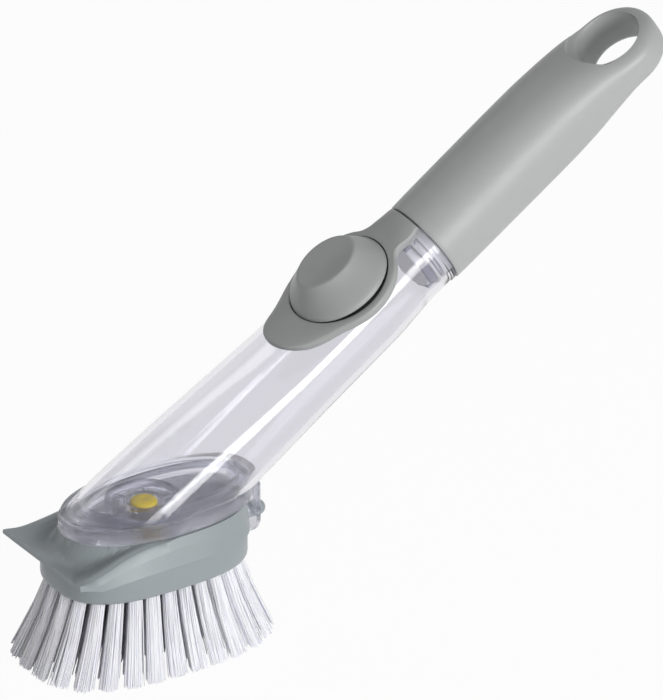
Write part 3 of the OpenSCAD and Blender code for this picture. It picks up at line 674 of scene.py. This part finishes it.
# %% Grip
GRIP_LEN = 115.8
GRIP_W = 17.1
EYE_AT = TANK_LEN + GRIP_LEN - GRIP_W
EYE_H = 2.2
EYE_R = 12
BLADE_HALF = 8.9
A0 = TANK_LEN
grip_mid = [(A0, 0), (A0 + 39, 1.3), (A0 + 72, 2.3), (EYE_AT - 12, 2.8), (EYE_AT, EYE_H), (A0 + GRIP_LEN, EYE_H - 0.6)]
grip_h = [(A0, 17), (A0 + 9, 17.1), (A0 + 39, 16.9), (A0 + 59, 16.2), (A0 + 72, 14.8), (EYE_AT - 18, 13.1),
          (EYE_AT - 11, 11.4), (EYE_AT - 5, 9.7), (EYE_AT, BLADE_HALF), (EYE_AT + 6, 8.6)]
grip_w = [(A0, 17), (A0 + 12, GRIP_W), (EYE_AT, GRIP_W)]
grip_n = [(A0, 2), (A0 + 39, 2.1), (A0 + 72, 2.4), (EYE_AT - 8, 2.8), (EYE_AT, 3)]


def grip_ring(at, half_w, half_h):
    n = 2 / through(grip_n, at)
    mid = through(grip_mid, at)
    return lambda f: wand(at, half_w * spow(math.cos(f), n), mid + half_h * spow(math.sin(f), n))


grip_places = [round_at(A0 + 15, 14.6), round_at(A0 + 3.4, 14.6), round_at(A0 + 3.4, 15.7), round_at(A0 + 0.3, 15.7),
               round_at(A0, 16), round_at(A0, 16.5), round_at(A0 + 0.15, 16.85)]
stations = [s for s in [A0 + 0.5] + [A0 + 2 * k for k in range(1, 49)] if s < EYE_AT]
grip_places += [grip_ring(s, through(grip_w, s), through(grip_h, s)) for s in stations]
for k in range(17):
    turn = math.pi / 2 * k / 17.3
    at, half_w, half_h = EYE_AT + GRIP_W * math.sin(turn), GRIP_W * math.cos(turn), BLADE_HALF * math.cos(turn) ** 0.42
    grip_places.append(grip_ring(at, half_w, half_h))
bm = bmesh.new()
for end in skin(bm, 128, grip_places):
    lid(bm, end)
grip = piece(bm, "grip", "grip", ("handle_shell",), sharp=50)

bm = bmesh.new()
half_wall, lip_round = 5.4, 2.4
flare_r = EYE_R + lip_round + 0.9
flare = [(EYE_R + lip_round * (1 - math.cos(t)), half_wall + lip_round * math.sin(t) * 1.3)
         for t in [k * math.pi / 24 for k in range(11)]]
half_spool = [(0, 16), (flare_r, 16), (flare_r, 9.3)] + flare[::-1]
spool = half_spool + [(r, -h) for r, h in reversed(half_spool)]
turned(bm, spool, lambda x, y, z: wand(EYE_AT + x, y, EYE_H + z), 128)
cut_out(grip, piece(bm, "eye_cutter", "grip"), 50)
grip.data.materials.append(grip_plastic)

# %% [markdown]
# The plug in the grip's mouth shows through the clear neck. Its core is pale, and five rounded lugs stand round it just
# under the neck's flange, with light gaps between them. The lugs carry a darker lavender grey that is painted shade: it
# stands for the shade seen on them through the clear neck.

# %% Neck plug
LUGS = 5
bm = bmesh.new()
turned(
    bm,
    [(0, 131), (11.6, 131), (12, 131.5), (12, 137.4), (13.6, 137.8), (13.6, 144.6), (14.5, 144.6), (14.5, 155.9),
     (0, 155.9)],
    lambda x, y, z: wand(z, y, x),
)
plug = piece(bm, "neck_plug", "grip", ("handle_plug",))
plug.data.materials.append(white_plastic)
bm = bmesh.new()
for k in range(LUGS):
    turn = Matrix.Rotation(math.radians(360 / LUGS * k - 52), 3, "X")
    cuboid(bm, (131.2, -4.6, 11.4), (136.6, 4.6, 13.2), lambda x, y, z: wand(*(turn @ Vector((x, y, z)))), 0.6)
lugs = piece(bm, "neck_lugs", "grip")
lugs.data.materials.append(lugs_painted_shade)

# %% [markdown]
# The brush head's shell has three jobs in one moulding: it carries the bristle block, it seats under the reservoir's
# foot, and its front sweeps out into a straight scraper's edge with a scoop behind it. Plain functions give its width,
# its underside and the scoop's height at every place.

# %% Brush shell
SEAM_Z = -10.5
SHELL_TOP = -0.2
SCRAPER_AT, SCRAPER_W, SCRAPER_T = 43.2, 26, 1.8
LIP_Z, DISH_Z, CREST_END = -5.8, -8.2, -8
RIDGE_IN = 3.4
SHELL_W, SHELL_REAR, BLOCK_N = 25.5, 38.9, 2.8


def shell_low_half(x):
    """Half the shell's width at the seam."""
    if x < 0:
        return mix(SHELL_W, SCRAPER_W, clamp(-x / SCRAPER_AT))
    return SHELL_W * max(0.0001, 1 - min(1, x / SHELL_REAR) ** BLOCK_N) ** (1 / BLOCK_N)


def shell_top_half(x):
    """Half the shell's width at its top edge, drawn in except at the scraper's edge."""
    return shell_low_half(x) - 2.6 * ease((x + SCRAPER_AT) / 26) * clamp((46 - x) / 12)


def shell_under(x):
    """The height of the shell's underside, which rises under the scraper."""
    return mix(SEAM_Z, LIP_Z - SCRAPER_T, clamp((-34 - x) / (SCRAPER_AT - 34)) ** 0.8)


def scoop(x, y):
    """The height of the shell's top, with the scoop between the foot plate and the scraper's edge."""
    if x > CREST_END + 8:
        return SHELL_TOP
    crest = mix(LIP_Z, SHELL_TOP, ease((x + SCRAPER_AT) / (SCRAPER_AT + CREST_END)))
    past = math.hypot((x - PLATE_X) / (PLATE_L - 1.2), y / (PLATE_W - 1.2)) - 1
    past = max(0, past) * mix(PLATE_L, PLATE_W, clamp(abs(y) / 22))
    t = clamp(past / 6.5)
    base = SHELL_TOP - (SHELL_TOP - DISH_Z) * (1 - (1 - t) ** 2)
    lip = (LIP_Z - DISH_Z) * clamp(1 - (x + SCRAPER_AT) / 8) ** 2 * t
    edge = ease(1 - (shell_top_half(x) - abs(y) - RIDGE_IN) / 9)
    deep = min(SHELL_TOP, max(base + lip, base + (crest - base) * edge))
    return mix(deep, SHELL_TOP, ease((x - CREST_END) / 8))


print("the scraper is", 2 * SCRAPER_W, "mm wide")

# %% [markdown]
# Seen from the side, the shell's flank slopes out from the top edge to the seam. It is easier to sweep as rings, one
# station after another from the scraper to the rear, with the scoop taken from the same height function.

# %% Shell skin by stations
TOP_POINTS = 72


def shell_section(x):
    """Ring of the shell at a station: the top across, the flank down, and the seam's line back under it."""
    low, top_half, under = shell_low_half(x), shell_top_half(x), shell_under(x)
    pts = []
    roll = 3.4 * ease((CREST_END + 10 - x) / 14) * ease((x + SCRAPER_AT) / 9)
    for k in range(TOP_POINTS + 1):
        y = mix(top_half - 0.5, -top_half + 0.5, k / TOP_POINTS)
        past = clamp((abs(y) - top_half + RIDGE_IN) / RIDGE_IN)
        pts.append((y, max(scoop(x, y) - roll * (1 - math.sqrt(1 - past * past)), under + 0.9)))
    edge_z = pts[0][1]
    right = [(top_half, edge_z - 0.35), (mix(top_half, low, 0.3), mix(edge_z, under, 0.35)),
             (mix(top_half, low, 0.75), mix(edge_z, under, 0.75)), (low, mix(edge_z, under, 0.93)), (low, under)]
    left = [(-y, z) for y, z in right]
    belly = [(mix(-low, low, k / 8), under) for k in range(1, 8)]
    return right[::-1] + pts + left + belly


shell_x = [-SCRAPER_AT + d for d in (0, 0.15, 0.5, 1, 1.8)] + [-40.6 + 1.15 * k for k in range(1, 34)]
shell_x += list(range(0, 33, 2)) + [33.5, 35, 36, 37, 37.7, 38.2, 38.55, 38.75]
shell_x = sorted({round(x, 3) for x in shell_x})
section_len = len(shell_section(0))


def shell_place(x):
    pts = shell_section(x)

    def place(f):
        return level(x, *pts[round(f / math.tau * section_len) % section_len])

    return place


bm = bmesh.new()
for end in skin(bm, section_len, [shell_place(x) for x in shell_x]):
    lid(bm, end)
shell = piece(bm, "brush_shell_skin", "head", ("brush_shell",), sharp=40)
shell.data.materials.append(head_plastic)

# %% [markdown]
# At the rear of the shell a round stud with a domed end passes through the latch tongue. It is turned.

# %% Release stud
bm = bmesh.new()
turned(
    bm,
    [(0, 0), (3.9, 0), (3.9, 3.4), (3.6, 3.8), (STUD_R, 4.1), (STUD_R, 12.4), (2.75, 13.2), (2.3, 14.1), (1.5, 14.8),
     (0.6, 15.08), (0, 15.1)],
    lambda x, y, z: level(SHELL_REAR - 3 + z, y, STUD_Z + x),
    48,
)
stud = piece(bm, "release_stud", "head", sharp=50)
stud.data.materials.append(head_plastic)

# %% [markdown]
# The bristle block is welded under the shell. Its outline is a squarish oval, and its lower edge is softly rounded.

# %% Bristle block
HEAD_H = 20.5
BLOCK_L, BLOCK_W = 38.5, 25


def oval_point(a, b, n, f):
    """The (x, y) of a squarish oval's edge at an angle."""
    return a * spow(math.cos(f), 2 / n), b * spow(math.sin(f), 2 / n)


def block_oval(inset, z):
    return lambda f: level(*oval_point(BLOCK_L - inset, BLOCK_W - inset, BLOCK_N, f), z)


bm = bmesh.new()
block_places = [block_oval(i, z) for i, z in (
    (1.9, SEAM_Z), (1.1, SEAM_Z), (1.1, SEAM_Z - 0.5), (0.5, SEAM_Z - 0.7), (0.4, SEAM_Z - 1.1), (0.35, -HEAD_H + 2),
    (0.5, -HEAD_H + 1), (0.85, -HEAD_H + 0.35), (1.4, -HEAD_H))]
for end in skin(bm, 160, block_places):
    lid(bm, end)
block = piece(bm, "bristle_block_body", "head", ("bristle_block",), sharp=50)
block.data.materials.append(head_plastic)

# %% [markdown]
# Nylon bristles are set in tufts, folded into drilled holes and trimmed flat. Each tuft leans out with its row, and
# its strands spread as they go down. Each strand is a thin curve with a round bevel, which is quick to lay out by
# rule and becomes an ordinary mesh at the end. Nylon lets most light on to the strands behind, so its shadow is weak.

# %% Bristle finish
nylon = moulded("nylon", (0.91, 0.91, 0.99), 0.35, grain=900, cloud=0.02, Subsurface_Weight=0.7)
nylon.node_tree.nodes["Principled BSDF"].inputs["Subsurface Radius"].default_value = (0.002, 0.002, 0.0022)
nodes, links = nylon.node_tree.nodes, nylon.node_tree.links
passing = part_of(nodes, links, nodes.new("ShaderNodeLightPath").outputs["Is Shadow Ray"], 0.8)
blend_out(nodes, links, passing, nodes["Principled BSDF"], nodes.new("ShaderNodeBsdfTransparent"))
TIP_Z = -51
TUFT_HOLE, TUFT_SPREAD = 2.4, 3.4
STRAND_R, STRANDS = 0.24, 90
FAN_L, FAN_W = 48, 31.8
rng = random.Random(7)

# %% Rows of tufts
# Half length, half width, number of tufts, lean and CAD nodes of each row.
ROW_SHAPES = {
    "outer": (34.6, 21.2, 28, 1.0, ("tufts_outer",)),
    "middle": (28.2, 15.2, 22, 0.96, ("tufts_middle",)),
    "inner": (21.0, 9.4, 16, 0.92, ("tufts_inner",)),
    "core": (13.0, 4.0, 8, 0.9, ()),
}


def tuft_spots(a, b, count):
    """Points spaced evenly round an oval row."""
    walk = [oval_point(a, b, 2.4, k * math.tau / 720) for k in range(721)]
    run = [0.0]
    for p, q in zip(walk, walk[1:]):
        run.append(run[-1] + math.dist(p, q))
    spots, k = [], 0
    for i in range(count):
        goal = (i + 0.5) / count * run[-1]
        while run[k] < goal:
            k += 1
        spots.append(walk[k])
    return spots


def strands(name, a, b, count, lean, nodes):
    """One row of tufts as a mesh of fine strands."""
    line = bpy.data.curves.new(name, "CURVE")
    line.dimensions = "3D"
    line.bevel_depth = STRAND_R * MM
    line.bevel_resolution = 0
    line.use_fill_caps = True
    for x0, y0 in tuft_spots(a, b, count):
        for _ in range(STRANDS):
            turn, far = rng.uniform(0, math.tau), math.sqrt(rng.random())
            dx, dy = far * math.cos(turn), far * math.sin(turn)
            start = Vector((x0 + dx * TUFT_HOLE, y0 + dy * TUFT_HOLE, -HEAD_H + 0.6))
            spread_x = dx * TUFT_SPREAD + rng.uniform(-0.8, 0.8)
            spread_y = dy * TUFT_SPREAD + rng.uniform(-0.8, 0.8)
            end = Vector((x0 * mix(1, 1.36, lean) + spread_x, y0 * mix(1, 1.48, lean) + spread_y, 0))
            past = (abs(end.x / FAN_L) ** 3 + abs(end.y / FAN_W) ** 3) ** (1 / 3)
            end /= max(1, past * rng.uniform(1, 1.03))
            end += Vector((-1, 0, TIP_Z))
            end.z += 0.35 + rng.uniform(-0.3, 0.6)
            middle = start.lerp(end, 0.5) - Vector((x0 * 0.012, y0 * 0.012, 0)) * 2
            strand = line.splines.new("POLY")
            strand.points.add(3)
            for point, at, thick in zip(
                strand.points, (start, start.lerp(middle, 0.9), middle.lerp(end, 0.5), end), (1, 1, 1, 0.9)
            ):
                point.co = (*(at * MM), 1)
                point.radius = thick
    draft = bpy.data.objects.new(name, line)
    bpy.context.scene.collection.objects.link(draft)
    mesh = bpy.data.meshes.new_from_object(draft.evaluated_get(bpy.context.evaluated_depsgraph_get()))
    bpy.data.objects.remove(draft)
    obj = bpy.data.objects.new(name, mesh)
    bpy.context.scene.collection.objects.link(obj)
    mesh.shade_smooth()
    mesh.materials.clear()
    mesh.materials.append(nylon)
    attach(obj, "head")
    if nodes:
        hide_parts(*nodes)
    print(name, "has", count * STRANDS, "strands and", len(mesh.polygons), "faces")


for row, shape in ROW_SHAPES.items():
    strands("bristles_" + row, *shape)

# %% [markdown]
# The pieces that hardly show keep their CAD shapes: the pump's works in the well, the seals and the soap duct. Each
# still gets the finish of its own plastic, rubber or wire.

# %% Inner pieces
INNER = {
    "pump_cup": clear_plastic,
    "pump_bellows": soft_seal,
    "bellows_ring": white_plastic,
    "pump_spring": spring_wire,
    "button_plunger": white_plastic,
    "neck_gasket": soft_seal,
    "plug_seal": soft_seal,
    "inlet_seal": soft_seal,
    "soap_duct": white_plastic,
}
for name, finish in INNER.items():
    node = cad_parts[name]
    node.data.materials.clear()
    node.data.materials.append(finish)
print("inner pieces finished:", len(INNER))

# %% [markdown]
# A white sweep stands under and behind the wand. For the camera, and for what glass and gloss show, it glows at
# plain white, and a share of ordinary diffuse white keeps the wand's shadow on it.

# %% Floor


def shown(nodes, links):
    """1 for the rays that the camera sees, straight or through glass and gloss, and 0 for the rest."""
    rays = nodes.new("ShaderNodeLightPath").outputs
    return greater(
        nodes, links, rays["Is Camera Ray"], greater(nodes, links, rays["Is Glossy Ray"], rays["Is Transmission Ray"])
    )


FLOOR_Z_MM = TIP_Z - 0.2
bm = bmesh.new()
bmesh.ops.create_grid(bm, x_segments=2, y_segments=2, size=4)
bmesh.ops.translate(bm, verts=bm.verts, vec=(0, 0, FLOOR_Z_MM * MM))
floor_mesh = bpy.data.meshes.new("floor")
bm.to_mesh(floor_mesh)
bm.free()
floor = bpy.data.objects.new("floor", floor_mesh)
bpy.context.scene.collection.objects.link(floor)
paper = bpy.data.materials.new("floor_white")
paper.use_nodes = True
tree = paper.node_tree
paint = tree.nodes["Principled BSDF"]
paint.inputs["Base Color"].default_value = (0.9, 0.9, 0.9, 1)
paint.inputs["Roughness"].default_value = 0.9
paint.inputs["Specular IOR Level"].default_value = 0.1
glow = tree.nodes.new("ShaderNodeEmission")
glow.inputs["Color"].default_value = (1, 1, 1, 1)
glowing = part_of(tree.nodes, tree.links, shown(tree.nodes, tree.links), 0.95)
blend_out(tree.nodes, tree.links, glowing, paint, glow)
floor_mesh.materials.append(paper)
print("floor at", FLOOR_Z_MM, "mm")

# %% [markdown]
# The light comes from the right of the camera in one broad box, so the right flanks are bright and the button's top
# is dark. A long low box draws the streak down the clear wall, and a weak one on the left keeps the far edges readable.

# %% Light


def softbox(name, right, up, back, size, power):
    """An area lamp, long along the wand, placed as the camera sees it: metres right, up and towards the camera."""
    lamp = bpy.data.lights.new(name, "AREA")
    lamp.shape = "RECTANGLE"
    lamp.size, lamp.size_y = size
    lamp.energy = power
    obj = bpy.data.objects.new(name, lamp)
    bpy.context.scene.collection.objects.link(obj)
    spot = view_middle + view_right * right + view_up * up + view_back * back
    from_wand = (spot - view_middle).normalized()
    side = from_wand.cross(ALONG).normalized()
    facing = Matrix((side.cross(from_wand), side, from_wand)).transposed().to_4x4()
    obj.matrix_world = Matrix.Translation(spot) @ facing


softbox("key_box", 1.05, -0.05, 0.95, (0.9, 0.5), 10.0)
softbox("streak_box", 0.5, -0.42, 1.2, (1.3, 0.3), 6.5)
softbox("left_box", -0.8, 0.85, -0.1, (1.0, 0.25), 1.4)
world = bpy.data.worlds.new("studio")
bpy.context.scene.world = world
world.use_nodes = True
tree = world.node_tree
around = tree.nodes["Background"]
around.inputs["Color"].default_value = (1, 1, 1, 1)
strength = tree.nodes.new("ShaderNodeMapRange")
strength.inputs["To Min"].default_value = 0.27
strength.inputs["To Max"].default_value = 1.0
tree.links.new(shown(tree.nodes, tree.links), strength.inputs["Value"])
tree.links.new(strength.outputs["Result"], around.inputs["Strength"])
bpy.context.scene.view_settings.view_transform = "Standard"
print("lamps:", 3)
